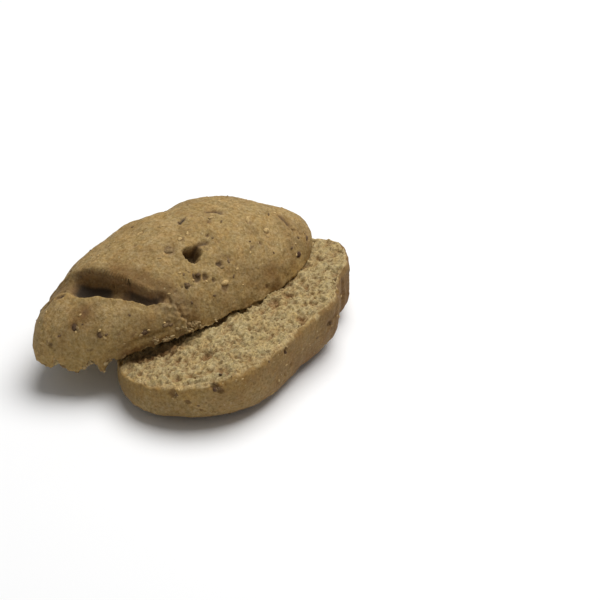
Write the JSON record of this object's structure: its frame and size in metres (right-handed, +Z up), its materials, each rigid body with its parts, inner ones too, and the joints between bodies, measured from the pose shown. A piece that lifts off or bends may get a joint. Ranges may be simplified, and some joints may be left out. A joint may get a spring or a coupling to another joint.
{
  "type": "bread roll",
  "caption": "Oblong multigrain bread roll sliced lengthwise, its domed upper half lying askew on its flat lower half, crumb showing along the front.",
  "frame": {"origin": "under the middle of the whole roll's box, on the surface that the roll rests on", "axes": "+Z up, +X along the lower half towards its far end, +Y to the back, where the upper half overhangs"},
  "size_m": [0.121, 0.0928, 0.0467],
  "materials": {
    "lower_half_bread": "matte",
    "upper_half_bread": "matte"
  },
  "bodies": {
    "root": {"lower_half": "lower_half_bread", "upper_half": "upper_half_bread"}
  },
  "joints": []
}
